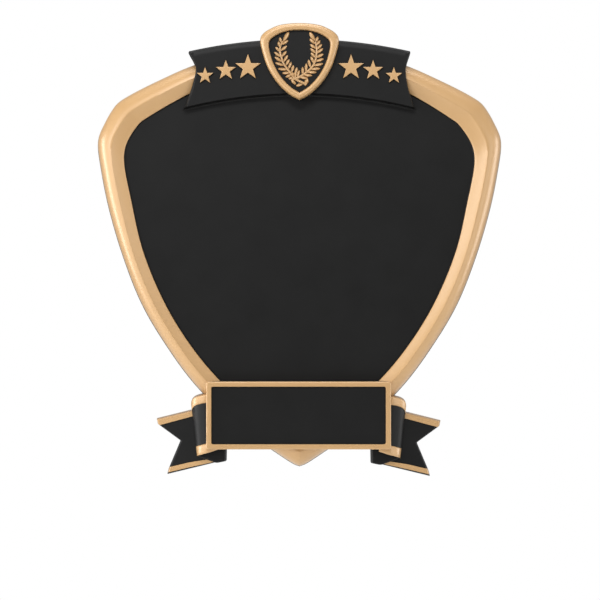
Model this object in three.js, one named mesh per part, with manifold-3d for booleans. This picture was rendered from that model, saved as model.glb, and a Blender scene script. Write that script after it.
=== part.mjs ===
import * as THREE from 'three';
import { mergeVertices } from 'three/addons/utils/BufferGeometryUtils.js';
import Module from 'manifold-3d';

// Award shield to hang on a wall: one resin casting with a flat back.
// A moulded shield frame carries an arched banner with six stars, a crest with
// a laurel wreath, a framed name panel, and ribbon folds with swallow tails.
// Lengths are in mm. The face is laid out as (u, v, w): u to the viewer's
// right, v up, w off the wall. The back lies on the wall at w = 0.

// The shield's frame: its full width, and the v of its top centre and tip.
const SHIELD = { width: 182, top: 92.4, tip: -97.9 };

// Heights off the wall.
const FIELD_HEIGHT = 9.4;
const FRAME_WALL = 5.2;
const FRAME_RIDGE = 12.8;
const FRAME_LIP = 10.6;
const BANNER_HEIGHT = 14;
const STAR_RISE = 1.3;
const CREST_RIM = 18;
const CREST_FIELD = 15.7;
const LEAF_RISE = 1.1;
const PANEL_RIM = 16;
const PANEL_SEAT = 14.9;
const FOLD_HEIGHT = 13.2;
const FOLD_EDGE = 7.6;
const LOOP_HEIGHT = 9.3;
const TAIL_ROOT_HEIGHT = 7.4;
const TAIL_END_HEIGHT = 5.1;
const BORDER_RISE = 0.5;
const BORDER_SLOPE = 0.3;

// Side walls lean out to the back, so that the casting leaves its mould.
const DRAFT = 0.5;
const EDGE_ROUND = 0.45;

// Relief lying on a surface starts this far inside it.
const SUNK = 1.5;

// Right half of the frame from the top centre down to the tip: a point of the
// outer edge, and the step across the moulding from there to its inner edge.
const FRAME = [
  { outer: [0, 92.4], across: [0, -9.9] },
  { outer: [24.4, 89.2], across: [-1.2, -9.7] },
  { outer: [47, 83.3], across: [-4, -10.5] },
  { outer: [62.8, 76.5], across: [-4.6, -11.1] },
  { outer: [77, 69.3], across: [-6.7, -11] },
  { outer: [82.2, 65.8], across: [-10.3, -8.7] },
  { outer: [85.1, 62], across: [-11.1, -7.4] },
  { outer: [88.1, 56.6], across: [-11.7, -5.7] },
  { outer: [90.5, 51.1], across: [-12.4, -3.9] },
  { outer: [91, 46.7], across: [-12, -3.7] },
  { outer: [89.7, 36.7], across: [-10.9, 0.6] },
  { outer: [86.3, 19.5], across: [-10.5, 2.8] },
  { outer: [79.7, -3.1], across: [-8.9, 3.5] },
  { outer: [71.1, -24.8], across: [-8.8, 3.8] },
  { outer: [60.5, -42.8], across: [-7.7, 5] },
  { outer: [47.2, -60.9], across: [-7.2, 6.2] },
  { outer: [28.2, -79.6], across: [-5.2, 8.6] },
  { outer: [11.4, -91.2], across: [-4, 10.6] },
  { outer: [2.4, -97], across: [-0.8, 13.4] },
  { outer: [0, -97.9], across: [0, 13.8] },
];
const FRAME_STEPS = 2;

// Section of the moulding: a roll up to the ridge, then a slope to the lip,
// with the shares of its width counted from the outer edge.
const RIDGE_SHARE = 0.53;
const ROLL_ANGLE = 82;
const ROLL_STEPS = 5;
const SLOPE = [
  { share: 0.57, aboveLip: 1.95 }, { share: 0.8, aboveLip: 0.83 }, { share: 1, aboveLip: 0 },
];
const FIELD_SHARE = 1.03;

// Arched banner over the top of the frame, drawn in at the waist of its ends,
// on the viewer's left more than on the right.
const BANNER_TOP = { half: 49.7, edge: SHIELD.top - 3.6, middle: SHIELD.top + 1.9 };
const BANNER_BOTTOM = { half: 51.6, edge: SHIELD.top - 29.1, middle: SHIELD.top - 22.7 };
const BANNER_WAIST = [{ share: 0.44, left: 2.9, right: 2.4 }, { share: 0.733, left: 3.6, right: 2.4 }];
const BANNER_STEPS = 18;
const BANNER_END_STEPS = 9;

// Section of the banner: the lower edge spreads into a foot on the field, and
// the upper edge rolls in to the face, the ends by a small share of that.
const BANNER_FOOT = [
  { spread: 1.1, aboveField: -0.6 }, { spread: 1, aboveField: 0.25 },
  { spread: 0.35, aboveField: 1 }, { spread: 0, aboveField: 2.6 },
];
const BANNER_ROLL = [
  { inset: 0.32, below: 0.9 }, { inset: 1.28, below: 0.3 }, { inset: 3.2, below: 0 },
];
const BANNER_END_ROLL_SHARE = 0.06;

// Stars on one half of the banner: place and point radius.
const STARS = [
  { u: 23.1, v: SHIELD.top - 11.1, radius: 6 },
  { u: 33, v: SHIELD.top - 12.4, radius: 4.7 },
  { u: 42.3, v: SHIELD.top - 14.8, radius: 3.9 },
];
const STAR_WAIST_SHARE = 0.4;
const STAR_BEVEL = 0.3;

// Crest, measured from its own top edge: half outlines down to its tip.
const CREST_V = SHIELD.top + 8.7;
const CREST_OUTER = [
  [0, 0], [4.6, -0.2], [9.4, -1], [12.8, -2.4], [15.5, -4], [17.2, -5.9],
  [17.65, -8.2], [16.4, -13.9], [14, -20.5], [9.6, -27.2], [4.3, -32.1], [0, -34.4],
];
const CREST_INNER = [
  [0, -3.2], [4.1, -3.45], [8.2, -4.5], [11, -5.9], [12.9, -7.4], [13.6, -8.7],
  [13.7, -10.2], [13.1, -13.6], [11.4, -18.7], [8.1, -24.3], [3.9, -28.7], [0, -31.2],
];
const CREST_STEPS = 3;

// Section of the crest's rim, from its outer edge in to the sunk field.
const CREST_SECTION = [
  { share: 0, belowRim: 2.4 }, { share: 0.1, belowRim: 1.1 }, { share: 0.26, belowRim: 0.35 },
  { share: 0.48, belowRim: 0 }, { share: 0.8, belowRim: 0.1 }, { share: 0.96, belowRim: 0.7 },
];

// Laurel branches on the crest, from foot to growing end; their stems cross.
const LAUREL_LEFT_STEM = [
  [3.2, -28.1], [1.7, -26.9], [-0.4, -25.7], [-2.4, -24.3], [-4.4, -22.6], [-6.2, -20.4],
  [-7.5, -18], [-8.3, -15.4], [-8.5, -12.9], [-8.1, -10.3], [-7.3, -7.7],
];
const LAUREL_RIGHT_STEM = [
  [-1.6, -26.8], [0.2, -25.5], [2.4, -24.1], [4.4, -22.5], [6, -20.5],
  [7.1, -18.1], [7.5, -15.5], [7.4, -12.9], [7.1, -10.3], [6.8, -7.9],
];
const LAUREL_PAIRS = 10;
const LAUREL_START_SHARE = 0.2;
const LAUREL_END_SHARE = 0.93;
const LEAF_LENGTH = 3.6;
const LEAF_WIDTH = 1.35;
const LEAF_OVERLAP = 0.35;
const LEAF_OUTER_ANGLE = { foot: 50, end: 38 };
const LEAF_INNER_ANGLE = { foot: 66, end: 40 };
const LEAF_GROWTH_SHARE = { foot: 0.8, perPair: 0.08 };
const END_LEAF = { length: 4.2, width: 1.7, angle: 25 };
const STEM_WIDTH = 0.8;
const STEM_STEPS = 14;

// Leaves lying about the crossed stems, from root to tip.
const FOOT_LEAVES = [
  { root: [-3.6, -24.9], tip: [-1.6, -27.5], width: 1.4 },
  { root: [-2.2, -25.1], tip: [1.2, -26.9], width: 1.5 },
  { root: [-1.6, -28.5], tip: [1.4, -27.8], width: 1.2 },
  { root: [0.6, -24.6], tip: [3.9, -25.4], width: 1.3 },
];

// Framed name panel across the foot of the shield.
const PANEL = { width: 82.8, height: 30.4, corner: 0.9, u: -0.4, v: SHIELD.tip + 23.2 };
const PANEL_RIM_WIDTH = 2.3;
const PANEL_BEVEL = 0.55;

// Ribbon on the viewer's left of the panel. Its points are [out, v]: out from
// the panel's side edge, v up from the panel's middle.
// The fold runs from under the panel to its curled edge, falling to the wall;
// rise is the share of the way up from that edge to the fold's full height.
const FOLD = [
  { top: [-5.35, 9.6], bottom: [-5.35, -15.4], rise: 1 },
  { top: [0.45, 9.2], bottom: [-0.55, -17], rise: 0.93 },
  { top: [2.65, 8.8], bottom: [1.35, -17.5], rise: 0.8 },
  { top: [4.65, 8.2], bottom: [2.85, -18], rise: 0.62 },
  { top: [6, 7.4], bottom: [3.75, -18.3], rise: 0.42 },
  { top: [6.85, 6.3], bottom: [4.25, -18.5], rise: 0.2 },
  { top: [7.1, 4.9], bottom: [4.4, -18.7], rise: 0 },
];
const FOLD_UPPER_BORDER = 3.7;
const FOLD_LOWER_BORDER = 4.4;

// Back of the ribbon loop under the fold, and the swallow tail behind it.
const LOOP = [
  [-8.5, -11.3], [4.25, -11.3], [3.85, -18.9], [0.65, -19.9], [-4.35, -21.7], [-8.3, -20.9],
];
const LOOP_CORNER = 0.8;
const TAIL = [[-5.8, 4.7], [22.6, -2.6], [11.5, -11.4], [17.5, -26.85], [-5.8, -20.9]];
const TAIL_CORNER = 1.3;
const TAIL_UPPER_BORDER = [
  [-5.7, 4.55], [21, -2.3], [21.35, -3.35], [20.1, -4.4], [-5.7, 2.45],
];
const TAIL_LOWER_BORDER = [
  [16.1, -23.5], [16.75, -25.3], [16.2, -26.05], [-4.2, -21.35], [-2.5, -19.4], [3, -20.2],
];
const BORDER_CORNER = 0.25;

// The ribbon on the right is the mirror image of the left one, hung lower.
const RIGHT_DROP = 0.9;

// Keyhole recess for a screw head, cut into the back behind the banner.
const KEYHOLE_V = SHIELD.top - 18.4;
const KEYHOLE_ENTRY = 10;
const KEYHOLE_SLOT = 5;
const KEYHOLE_TRAVEL = 9;
const KEYHOLE_LIP = 2.4;
const KEYHOLE_DEPTH = 7.5;

const GOLD = { color: 0xd9ae82, roughness: 0.42, metalness: 0.55 };

const wasm = await Module();
wasm.setup();

/** Turns a closed geometry into a solid for joining and cutting. */
function toSolid(geometry) {
  const bare = geometry.clone();
  bare.deleteAttribute('normal');
  bare.deleteAttribute('uv');
  const merged = mergeVertices(bare, 1e-5);
  const mesh = new wasm.Mesh({
    numProp: 3,
    vertProperties: new Float32Array(merged.attributes.position.array),
    triVerts: new Uint32Array(merged.index.array),
  });
  return new wasm.Manifold(mesh);
}

/** Sum of the signed volumes between each triangle and the origin. */
function signedVolume(points, faces) {
  return faces.reduce((sum, [a, b, c]) => {
    const cross = new THREE.Vector3().crossVectors(points[b], points[c]);
    return sum + points[a].dot(cross);
  }, 0);
}

/** Skins a stack of rings of equal count and closes both ends flat. */
function ringSolid(rings, flatten = (p) => new THREE.Vector2(p.x, p.y)) {
  const count = rings[0].length;
  const points = rings.flat();
  const faces = [];
  for (let r = 0; r < rings.length - 1; r += 1) {
    for (let k = 0; k < count; k += 1) {
      const next = (k + 1) % count;
      const a = r * count + k;
      const b = r * count + next;
      faces.push([a, b, b + count], [a, b + count, a + count]);
    }
  }
  const last = (rings.length - 1) * count;
  const turned = THREE.ShapeUtils.isClockWise(rings[0].map(flatten));
  const capOf = (ring) => THREE.ShapeUtils.triangulateShape(ring.map(flatten), []);
  const flip = ([a, b, c]) => [a, c, b];
  const front = capOf(rings.at(-1)).map((face) => face.map((k) => k + last));
  const back = capOf(rings[0]);
  faces.push(...(turned ? front.map(flip) : front));
  faces.push(...(turned ? back : back.map(flip)));
  const outward = signedVolume(points, faces) < 0 ? faces.map(flip) : faces;
  const geometry = new THREE.BufferGeometry().setFromPoints(points);
  geometry.setIndex(outward.flat());
  return geometry;
}

/** Mirror image of a geometry across u = 0. */
function mirrored(geometry) {
  const copy = geometry.clone();
  copy.scale(-1, 1, 1);
  const corners = copy.index.array;
  for (let k = 0; k < corners.length; k += 3) {
    [corners[k], corners[k + 1]] = [corners[k + 1], corners[k]];
  }
  return copy;
}

/** Copy of a geometry moved over the face. */
function moved(geometry, u, v) {
  return geometry.clone().translate(u, v, 0);
}

/** Lifts a plan outline to a ring at one height. */
function ringAt(outline, height) {
  return outline.map((p) => new THREE.Vector3(p.x, p.y, height));
}

/** Closed, mirrored outline through half-outline points, pointed at the tip. */
function mirroredOutline(half, steps) {
  const right = half.map(([u, v]) => new THREE.Vector3(u, v, 0)).reverse();
  const left = half.slice(1).map(([u, v]) => new THREE.Vector3(-u, v, 0));
  const curve = new THREE.CatmullRomCurve3([...right, ...left], false, 'centripetal');
  const spans = right.length + left.length - 1;
  return curve.getPoints(spans * steps).slice(0, -1);
}

/** Ring between two matched outlines: share 0 is the outer, 1 the inner. */
function ringBetween(outer, inner, share, height) {
  return outer.map((p, k) => {
    const q = p.clone().lerp(inner[k], share);
    return new THREE.Vector3(q.x, q.y, height);
  });
}

/** Moves an outline inwards; weigh scales the move by the outward normal. */
function inset(outline, distance, weigh = () => 1) {
  const ccw = THREE.ShapeUtils.isClockWise(outline) ? -1 : 1;
  return outline.map((p, k) => {
    const before = outline.at(k - 1);
    const after = outline[(k + 1) % outline.length];
    const n1 = new THREE.Vector2(p.y - before.y, before.x - p.x).normalize();
    const n2 = new THREE.Vector2(after.y - p.y, p.x - after.x).normalize();
    const normal = n1.clone().add(n2).normalize().multiplyScalar(ccw);
    const mitre = 1 / Math.max(0.5, Math.abs(normal.dot(n1)));
    const move = distance * mitre * weigh(normal);
    return new THREE.Vector2(p.x - normal.x * move, p.y - normal.y * move);
  });
}

/** Polygon moved inwards, with each corner cut back and rounded. */
function roundedPolygon(corners, distance, cut, steps = 3) {
  const points = inset(corners.map(([u, v]) => new THREE.Vector2(u, v)), distance);
  return points.flatMap((p, k) => {
    const before = points.at(k - 1);
    const after = points[(k + 1) % points.length];
    const from = p.clone().lerp(before, cut / p.distanceTo(before));
    const to = p.clone().lerp(after, cut / p.distanceTo(after));
    return new THREE.QuadraticBezierCurve(from, p, to).getPoints(steps);
  });
}

/** Block standing on the wall under a top whose height depends on the place. */
function block(corners, cut, heightAt) {
  const ring = (distance, down) => roundedPolygon(corners, distance, cut)
    .map((p) => new THREE.Vector3(p.x, p.y, heightAt(p) - down));
  return ringSolid([
    ringAt(roundedPolygon(corners, -DRAFT, cut), 0),
    ring(0, EDGE_ROUND),
    ring(EDGE_ROUND * 0.3, EDGE_ROUND * 0.3),
    ring(EDGE_ROUND, 0),
  ]);
}

/** Raised band lying on a surface whose height depends on the place. */
function band(corners, heightAt) {
  const ring = (distance, rise) => roundedPolygon(corners, distance, BORDER_CORNER)
    .map((p) => new THREE.Vector3(p.x, p.y, heightAt(p) + rise));
  return ringSolid([ring(0, -SUNK), ring(0, BORDER_RISE * 0.4), ring(BORDER_SLOPE, BORDER_RISE)]);
}

/** Outer and inner stations of the frame, set to the shield's width, top and tip. */
function frameStations() {
  const widest = Math.max(...FRAME.map(({ outer }) => outer[0]));
  const [highest, lowest] = [FRAME[0].outer[1], FRAME.at(-1).outer[1]];
  const stretchU = SHIELD.width / (2 * widest);
  const stretchV = (SHIELD.top - SHIELD.tip) / (highest - lowest);
  const outer = FRAME.map((station) => [
    station.outer[0] * stretchU, SHIELD.tip + (station.outer[1] - lowest) * stretchV,
  ]);
  const inner = outer.map(([u, v], k) => [u + FRAME[k].across[0], v + FRAME[k].across[1]]);
  return [outer, inner];
}

/** Shield: side wall, outer roll up to the ridge, slope to the lip, field. */
function makeFrame() {
  const [outer, inner] = frameStations().map((half) => mirroredOutline(half, FRAME_STEPS));
  const rings = [
    ringAt(inset(outer, -DRAFT), 0),
    ringAt(outer, FRAME_WALL),
  ];
  const end = THREE.MathUtils.degToRad(ROLL_ANGLE);
  for (let k = 1; k <= ROLL_STEPS; k += 1) {
    const angle = end * (k / ROLL_STEPS);
    const share = (RIDGE_SHARE * (1 - Math.cos(angle))) / (1 - Math.cos(end));
    const rise = Math.sin(angle) / Math.sin(end);
    rings.push(ringBetween(outer, inner, share, FRAME_WALL + (FRAME_RIDGE - FRAME_WALL) * rise));
  }
  SLOPE.forEach(({ share, aboveLip }) => {
    rings.push(ringBetween(outer, inner, share, FRAME_LIP + aboveLip));
  });
  rings.push(ringBetween(outer, inner, FIELD_SHARE, FIELD_HEIGHT));
  return ringSolid(rings);
}

/** Points of a shallow arch from one end to the other. */
function archPoints({ half, edge, middle }, from) {
  const rise = middle - edge;
  const radius = (half * half + rise * rise) / (2 * rise);
  const sweep = Math.asin(half / radius);
  return Array.from({ length: BANNER_STEPS + 1 }, (_, k) => {
    const angle = from * sweep * (1 - (2 * k) / BANNER_STEPS);
    return new THREE.Vector2(radius * Math.sin(angle), middle - radius * (1 - Math.cos(angle)));
  });
}

/** End of the banner as if on the right, drawn in between its two corners. */
function bannerEnd(side) {
  const lower = new THREE.Vector3(BANNER_BOTTOM.half, BANNER_BOTTOM.edge, 0);
  const upper = new THREE.Vector3(BANNER_TOP.half, BANNER_TOP.edge, 0);
  const waist = BANNER_WAIST.map((station) => {
    const p = lower.clone().lerp(upper, station.share);
    return p.setX(p.x - station[side]);
  });
  const curve = new THREE.CatmullRomCurve3([lower, ...waist, upper]);
  return curve.getPoints(BANNER_END_STEPS).slice(1, -1);
}

/** Banner with a rolled upper edge and a spreading foot below. */
function makeBanner() {
  const leftEnd = bannerEnd('left').map((p) => new THREE.Vector3(-p.x, p.y, 0)).reverse();
  const outline = [
    ...archPoints(BANNER_BOTTOM, -1),
    ...bannerEnd('right'),
    ...archPoints(BANNER_TOP, 1),
    ...leftEnd,
  ].map((p) => new THREE.Vector2(p.x, p.y));
  const downward = (normal) => Math.max(0, -normal.y);
  const upward = (normal) => (
    BANNER_END_ROLL_SHARE + (1 - BANNER_END_ROLL_SHARE) * Math.max(0, normal.y)
  );
  return ringSolid([
    ringAt(inset(outline, -DRAFT), 0),
    ...BANNER_FOOT.map(({ spread, aboveField }) => (
      ringAt(inset(outline, -spread, downward), FIELD_HEIGHT + aboveField)
    )),
    ...BANNER_ROLL.map((step) => (
      ringAt(inset(outline, step.inset, upward), BANNER_HEIGHT - step.below)
    )),
  ]);
}

/** Upright five-pointed star with a bevelled edge. */
function makeStar({ u, v, radius }) {
  const outline = Array.from({ length: 10 }, (_, k) => {
    const reach = k % 2 === 0 ? radius : radius * STAR_WAIST_SHARE;
    const angle = Math.PI / 2 + (k * Math.PI) / 5;
    return new THREE.Vector2(u + reach * Math.cos(angle), v + reach * Math.sin(angle));
  });
  return ringSolid([
    ringAt(outline, BANNER_HEIGHT - SUNK),
    ringAt(outline, BANNER_HEIGHT + STAR_RISE - STAR_BEVEL),
    ringAt(inset(outline, STAR_BEVEL), BANNER_HEIGHT + STAR_RISE),
  ]);
}

/** Crest: a rounded rim around a sunk field. */
function makeCrest() {
  const outer = mirroredOutline(CREST_OUTER, CREST_STEPS);
  const inner = mirroredOutline(CREST_INNER, CREST_STEPS);
  return ringSolid([
    ringAt(inset(outer, -DRAFT), 0),
    ...CREST_SECTION.map(({ share, belowRim }) => (
      ringBetween(outer, inner, share, CREST_RIM - belowRim)
    )),
    ringBetween(outer, inner, 1, CREST_FIELD),
  ]);
}

/** Blunt leaf lying on the crest's field, highest along its middle. */
function makeLeaf(root, angle, length, width) {
  const along = new THREE.Vector2(Math.cos(angle), Math.sin(angle));
  const across = new THREE.Vector2(-along.y, along.x);
  const start = root.clone().addScaledVector(along, -LEAF_OVERLAP);
  const reach = length + LEAF_OVERLAP;
  const place = (share, half) => start.clone()
    .addScaledVector(along, share * reach)
    .addScaledVector(across, half * width * 0.5);
  const outline = (grow) => [
    place(0.5 - 0.5 * grow, 0), place(0.5 - 0.1 * grow, -grow), place(0.5 + 0.3 * grow, -0.85 * grow),
    place(0.5 + 0.5 * grow, 0), place(0.5 + 0.3 * grow, 0.85 * grow), place(0.5 - 0.1 * grow, grow),
  ];
  return ringSolid([
    ringAt(outline(1), CREST_FIELD - SUNK),
    ringAt(outline(1), CREST_FIELD + LEAF_RISE * 0.5),
    ringAt(outline(0.45), CREST_FIELD + LEAF_RISE),
  ]);
}

/** Flat strip along a laurel branch's curve. */
function makeStem(curve) {
  const stem = curve.getSpacedPoints(STEM_STEPS);
  const edge = (side) => stem.map((p, k) => {
    const t = curve.getTangentAt(k / STEM_STEPS);
    const half = STEM_WIDTH * 0.5 * side;
    return new THREE.Vector2(p.x - t.y * half, p.y + t.x * half);
  });
  const outline = [...edge(-1), ...edge(1).reverse()];
  return ringSolid([
    ringAt(outline, CREST_FIELD - SUNK),
    ringAt(outline, CREST_FIELD + LEAF_RISE * 0.45),
  ]);
}

/** Laurel branch: stem, pairs of leaves and an end leaf. Side 1 is the left. */
function branchPieces(path, side) {
  const curve = new THREE.CatmullRomCurve3(path.map(([u, v]) => new THREE.Vector3(u, v, 0)));
  const pieces = [makeStem(curve)];
  const addLeaf = (at, turn, length, width) => {
    const p = curve.getPointAt(at);
    const t = curve.getTangentAt(at);
    const angle = Math.atan2(t.y, t.x) + THREE.MathUtils.degToRad(turn * side);
    pieces.push(makeLeaf(new THREE.Vector2(p.x, p.y), angle, length, width));
  };
  for (let k = 0; k < LAUREL_PAIRS; k += 1) {
    const up = k / (LAUREL_PAIRS - 1);
    const at = THREE.MathUtils.lerp(LAUREL_START_SHARE, LAUREL_END_SHARE, up);
    const grown = Math.min(1, LEAF_GROWTH_SHARE.foot + LEAF_GROWTH_SHARE.perPair * k);
    const outward = THREE.MathUtils.lerp(LEAF_OUTER_ANGLE.foot, LEAF_OUTER_ANGLE.end, up);
    const inward = THREE.MathUtils.lerp(LEAF_INNER_ANGLE.foot, LEAF_INNER_ANGLE.end, up);
    addLeaf(at, outward, LEAF_LENGTH * grown, LEAF_WIDTH);
    addLeaf(at, -inward, LEAF_LENGTH * grown, LEAF_WIDTH);
  }
  addLeaf(1, -END_LEAF.angle, END_LEAF.length, END_LEAF.width);
  return pieces;
}

/** Both laurel branches and the leaves about their crossed feet. */
function laurelPieces() {
  const foot = FOOT_LEAVES.map(({ root, tip, width }) => {
    const start = new THREE.Vector2(...root);
    const way = new THREE.Vector2(...tip).sub(start);
    return makeLeaf(start, way.angle(), way.length(), width);
  });
  return [...branchPieces(LAUREL_LEFT_STEM, 1), ...branchPieces(LAUREL_RIGHT_STEM, -1), ...foot];
}

/** Name panel: a flat rim with bevelled edges around a sunk plate seat. */
function makePanel() {
  const [u, v] = [PANEL.width / 2, PANEL.height / 2];
  const corners = [[-u, -v], [u, -v], [u, v], [-u, v]];
  const steps = [
    [-DRAFT, 0],
    [0, PANEL_RIM - PANEL_BEVEL],
    [PANEL_BEVEL * 0.3, PANEL_RIM - PANEL_BEVEL * 0.3],
    [PANEL_BEVEL, PANEL_RIM],
    [PANEL_RIM_WIDTH - PANEL_BEVEL * 0.5, PANEL_RIM],
    [PANEL_RIM_WIDTH, PANEL_RIM - PANEL_BEVEL * 0.5],
    [PANEL_RIM_WIDTH + 0.05, PANEL_SEAT],
  ];
  return ringSolid(steps.map(([distance, w]) => (
    ringAt(roundedPolygon(corners, distance, PANEL.corner), w)
  )));
}

/** Point of the left ribbon, from its distance out from the panel's side. */
function ribbonPoint([out, v]) {
  return [-(PANEL.width / 2 + out), v];
}

/** Fold of the ribbon, rounding back to its curled edge, with raised borders. */
function makeFold() {
  const rings = FOLD.map(({ top, bottom, rise }) => {
    const upper = new THREE.Vector2(...ribbonPoint(top));
    const lower = new THREE.Vector2(...ribbonPoint(bottom));
    const span = upper.distanceTo(lower);
    const face = FOLD_EDGE + (FOLD_HEIGHT - FOLD_EDGE) * rise;
    const at = (distance, height) => {
      const p = upper.clone().lerp(lower, distance / span);
      return new THREE.Vector3(p.x, p.y, height);
    };
    const upperEnd = FOLD_UPPER_BORDER;
    const lowerStart = span - FOLD_LOWER_BORDER;
    return [
      at(-DRAFT, 0), at(0, face), at(BORDER_SLOPE, face + BORDER_RISE),
      at(upperEnd - BORDER_SLOPE, face + BORDER_RISE), at(upperEnd, face), at(lowerStart, face),
      at(lowerStart + BORDER_SLOPE, face + BORDER_RISE), at(span - BORDER_SLOPE, face + BORDER_RISE),
      at(span, face), at(span + DRAFT, 0),
    ];
  });
  return ringSolid(rings, (p) => new THREE.Vector2(p.y, p.z));
}

/** Ribbon pieces on the left, about the panel's middle: fold, loop and tail. */
function ribbonPieces() {
  const end = Math.max(...TAIL.map(([out]) => out));
  const tailHeight = (p) => {
    const out = -p.x - PANEL.width / 2;
    return THREE.MathUtils.lerp(TAIL_ROOT_HEIGHT, TAIL_END_HEIGHT, out / end);
  };
  return [
    block(TAIL.map(ribbonPoint), TAIL_CORNER, tailHeight),
    band(TAIL_UPPER_BORDER.map(ribbonPoint), tailHeight),
    band(TAIL_LOWER_BORDER.map(ribbonPoint), tailHeight),
    block(LOOP.map(ribbonPoint), LOOP_CORNER, () => LOOP_HEIGHT),
    makeFold(),
  ];
}

/** Straight round-ended slot standing up from a centre, as a plan shape. */
function slotShape(v, width, travel) {
  const radius = width / 2;
  const shape = new THREE.Shape();
  shape.absarc(0, v, radius, Math.PI, 0, false);
  shape.absarc(0, v + travel, radius, 0, Math.PI, false);
  shape.closePath();
  return shape;
}

/** Plan shape pushed from one height to another. */
function pushed(shape, from, to) {
  const geometry = new THREE.ExtrudeGeometry(shape, {
    depth: to - from, bevelEnabled: false, curveSegments: 10,
  });
  geometry.translate(0, 0, from);
  return geometry;
}

/** Screw-head entry, narrow slot through the lip, and the wider room behind. */
function keyholePieces() {
  const below = -1;
  const entry = new THREE.Shape().absarc(0, KEYHOLE_V, KEYHOLE_ENTRY / 2, 0, Math.PI * 2, false);
  return [
    pushed(entry, below, KEYHOLE_DEPTH),
    pushed(slotShape(KEYHOLE_V, KEYHOLE_SLOT, KEYHOLE_TRAVEL), below, KEYHOLE_DEPTH),
    pushed(slotShape(KEYHOLE_V, KEYHOLE_ENTRY, KEYHOLE_TRAVEL), KEYHOLE_LIP, KEYHOLE_DEPTH),
  ];
}

/** Gives a solid back as a mesh standing in the object's frame. */
function toMesh(name, solid, finish) {
  const { vertProperties, triVerts } = solid.getMesh();
  const geometry = new THREE.BufferGeometry();
  geometry.setAttribute('position', new THREE.BufferAttribute(new Float32Array(vertProperties), 3));
  geometry.setIndex(new THREE.BufferAttribute(new Uint32Array(triVerts), 1));
  geometry.rotateX(Math.PI / 2);
  geometry.computeVertexNormals();
  const mesh = new THREE.Mesh(geometry, new THREE.MeshStandardMaterial(finish));
  mesh.name = name;
  return mesh;
}

const stars = STARS.map(makeStar);
const ribbon = ribbonPieces();
const pieces = [
  makeFrame(),
  makeBanner(),
  ...stars,
  ...stars.map(mirrored),
  ...[makeCrest(), ...laurelPieces()].map((piece) => moved(piece, 0, CREST_V)),
  moved(makePanel(), PANEL.u, PANEL.v),
  ...ribbon.map((piece) => moved(piece, PANEL.u, PANEL.v)),
  ...ribbon.map((piece) => moved(mirrored(piece), PANEL.u, PANEL.v - RIGHT_DROP)),
];
const joined = pieces.map(toSolid).reduce((whole, solid) => whole.add(solid));
const casting = keyholePieces().map(toSolid).reduce((whole, solid) => whole.subtract(solid), joined);

const group = new THREE.Group();
group.add(toMesh('shield_plaque', casting, GOLD));

export default group;
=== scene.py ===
"""Award shield for a wall, dressed round its packed casting.

One resin casting painted satin black, with its moulding, stars, laurel, rims
and ribbon borders picked out in antique gold. Sizes are in millimetres and
laid out as on the face: u to the viewer's right, v up, w off the wall.
"""

from __future__ import annotations

import logging
import math
from collections.abc import Callable, Sequence
from dataclasses import dataclass, field
from enum import Enum

import bmesh
import bpy
from mathutils import Matrix, Vector


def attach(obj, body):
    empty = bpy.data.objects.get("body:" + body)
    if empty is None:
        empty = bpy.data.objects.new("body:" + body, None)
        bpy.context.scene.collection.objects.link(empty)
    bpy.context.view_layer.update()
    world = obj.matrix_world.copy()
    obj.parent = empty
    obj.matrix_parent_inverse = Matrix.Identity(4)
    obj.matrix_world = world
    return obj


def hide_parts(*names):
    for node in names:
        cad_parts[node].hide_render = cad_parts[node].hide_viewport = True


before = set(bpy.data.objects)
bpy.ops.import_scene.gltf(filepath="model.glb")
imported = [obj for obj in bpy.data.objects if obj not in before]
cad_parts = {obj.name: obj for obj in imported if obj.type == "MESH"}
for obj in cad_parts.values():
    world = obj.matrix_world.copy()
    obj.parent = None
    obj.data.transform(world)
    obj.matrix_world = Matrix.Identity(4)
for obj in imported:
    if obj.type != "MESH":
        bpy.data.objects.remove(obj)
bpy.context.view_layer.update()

LOG = logging.getLogger("award_shield")
NODE = "shield_plaque"
MM = 0.001
FACE_TO_WORLD = Matrix(((MM, 0, 0, 0), (0, 0, -MM, 0), (0, MM, 0, 0), (0, 0, 0, 1)))

# Least step of a spline's parameter, and least cosine that a mitre is taken from.
LEAST_STEP = 1e-4
LEAST_MITRE = 0.5

HalfOutline = tuple[tuple[float, float], ...]
# How far across a section a ring lies, and its height.
Profile = Sequence[tuple[float, float]]
# Root and tip of each leaf, each as a place across and up.
LeafPlaces = tuple[tuple[float, float, float, float], ...]


class Side(Enum):
    """The viewer's left and right of the shield."""

    LEFT = "left"
    RIGHT = "right"


class Slot(Enum):
    """Paints that the casting wears, by their material slots."""

    GOLD = "gold_paint"
    BLACK = "black_paint"


# Outlines


def smooth_through(points: Sequence[Vector], per_span: int) -> list[Vector]:
    """Runs a centripetal spline through points.

    Args:
        points: Points the curve passes through, in order.
        per_span: Steps between each two neighbours.

    Returns:
        The curve's points, both ends included.
    """
    ends = [2 * points[0] - points[1], *points, 2 * points[-1] - points[-2]]
    curve = [points[0].copy()]
    for k in range(1, len(ends) - 2):
        p0, p1, p2, p3 = ends[k - 1 : k + 3]
        pairs = ((p0, p1), (p1, p2), (p2, p3))
        t01, t12, t23 = (max((b - a).length ** 0.5, LEAST_STEP) for a, b in pairs)
        m1 = t12 * ((p1 - p0) / t01 - (p2 - p0) / (t01 + t12) + (p2 - p1) / t12)
        m2 = t12 * ((p2 - p1) / t12 - (p3 - p1) / (t12 + t23) + (p3 - p2) / t23)
        for step in range(1, per_span + 1):
            # Cubic Hermite weights of the two points and their two slopes.
            t = step / per_span
            a = 2 * t**3 - 3 * t**2 + 1
            b = t**3 - 2 * t**2 + t
            c = -2 * t**3 + 3 * t**2
            d = t**3 - t**2
            curve.append(a * p1 + b * m1 + c * p2 + d * m2)
    return curve


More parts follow.
